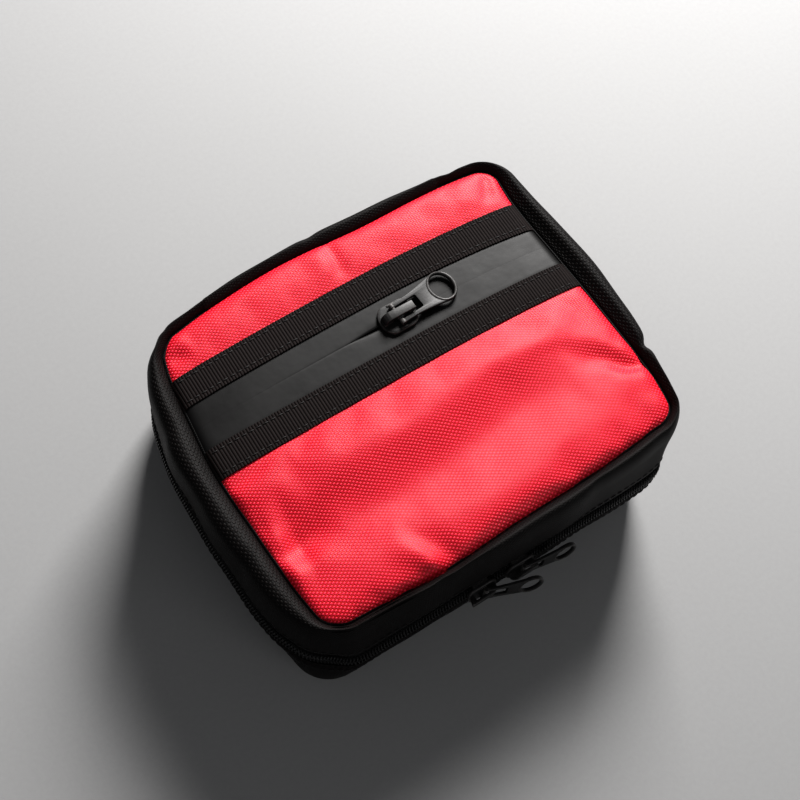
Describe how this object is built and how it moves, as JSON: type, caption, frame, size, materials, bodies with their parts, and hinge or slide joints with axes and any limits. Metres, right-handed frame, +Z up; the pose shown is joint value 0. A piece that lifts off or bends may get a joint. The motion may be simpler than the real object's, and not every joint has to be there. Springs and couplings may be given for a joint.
{
  "type": "first aid pouch",
  "caption": "Soft rectangular first aid pouch with a padded red face, a zipped front pocket and a fold-back lid closed by a zip round three sides.",
  "frame": {"origin": "middle of the floor panel's underside", "axes": "+X along the zips, to the right seen from the front; -Y the front wall with the main sliders; +Y the rear hinge; +Z up through the padded face"},
  "size_m": [0.1704, 0.1563, 0.072],
  "materials": {
    "shell_fabric": "woven nylon, coated",
    "face_fabric": "woven nylon, coated",
    "grosgrain": "ribbed ribbon",
    "laminated_tape": "matt laminate",
    "zip_tape": "woven tape",
    "zip_coil": "nylon coil",
    "lining": "plain woven lining",
    "binding": "ribbon",
    "black_metal": "semi-gloss black",
    "crepe": "crepe",
    "gauze": "open weave",
    "paper_sachet": "paper",
    "paper_strip": "paper",
    "film_pack": "film",
    "foil_sachet": "laminated foil",
    "steel": "satin",
    "white_plastic": "moulded",
    "skin_tape": "woven tape",
    "gold_foil": "metallised film"
  },
  "bodies": {
    "base": {"base_panel": "shell_fabric", "base_gusset": "shell_fabric", "base_zip_tape": "zip_tape", "base_zip_coil": "zip_coil", "hinge_panel_lower": "shell_fabric", "base_lining": "lining", "base_seam_binding": "binding", "divider_left": "lining", "divider_right": "lining", "bandage_roll": "crepe", "bandage_clip": "steel", "gauze_roll": "gauze", "gauze_packets": "paper_sachet", "plaster_packets": "paper_strip", "glove_packet": "film_pack", "wipe_packets": "foil_sachet", "tape_spool": "white_plastic", "adhesive_tape": "skin_tape", "foil_blanket": "gold_foil"},
    "lid": {"face_panel_upper": "face_fabric", "face_panel_lower": "face_fabric", "grosgrain_upper": "grosgrain", "grosgrain_lower": "grosgrain", "pocket_zip_tape_upper": "laminated_tape", "pocket_zip_tape_lower": "laminated_tape", "pocket_zip_coil_upper": "zip_coil", "pocket_zip_coil_lower": "zip_coil", "lid_gusset": "shell_fabric", "lid_zip_tape": "zip_tape", "lid_zip_coil": "zip_coil", "hinge_panel_upper": "shell_fabric", "pocket_backing": "lining", "lid_seam_binding": "binding", "tool_loops": "grosgrain", "tweezers": "steel"},
    "pocket_slider": {"pocket_slider_body": "black_metal", "pocket_slider_crown": "black_metal"},
    "pocket_pull_body": {"pocket_pull": "black_metal"},
    "left_slider": {"left_slider_body": "black_metal", "left_slider_crown": "black_metal"},
    "left_pull_body": {"left_pull": "black_metal"},
    "right_slider": {"right_slider_body": "black_metal", "right_slider_crown": "black_metal"},
    "right_pull_body": {"right_pull": "black_metal"}
  },
  "joints": [
    {"name": "lid_hinge", "type": "hinge", "parent": "base", "child": "lid", "pos_m": [0, 0.0731, 0.037], "axis": [-1, 0, 0], "range_deg": [0, 170]},
    {"name": "pocket_slide", "type": "slide", "parent": "lid", "child": "pocket_slider", "axis": [1, 0, 0], "range_m": [-0.072, 0.04]},
    {"name": "pocket_pull_swing", "type": "hinge", "parent": "pocket_slider", "child": "pocket_pull_body", "pos_m": [0.0068, 0.0255, 0.06985], "axis": [0.0872, -0.9962, 0], "range_deg": [0, 165]},
    {"name": "left_slide", "type": "slide", "parent": "base", "child": "left_slider", "axis": [1, 0, 0], "range_m": [-0.044, 0]},
    {"name": "left_pull_swing", "type": "hinge", "parent": "left_slider", "child": "left_pull_body", "pos_m": [-0.0165, -0.07434, 0.03746], "axis": [-0.1392, -0.1035, -0.9848], "range_deg": [-4, 148]},
    {"name": "right_slide", "type": "slide", "parent": "base", "child": "right_slider", "axis": [1, 0, 0], "range_m": [0, 0.055]},
    {"name": "right_pull_swing", "type": "hinge", "parent": "right_slider", "child": "right_pull_body", "pos_m": [0.0005, -0.07434, 0.03746], "axis": [-0.0872, -0.1041, -0.9907], "range_deg": [-5, 30]}
  ]
}
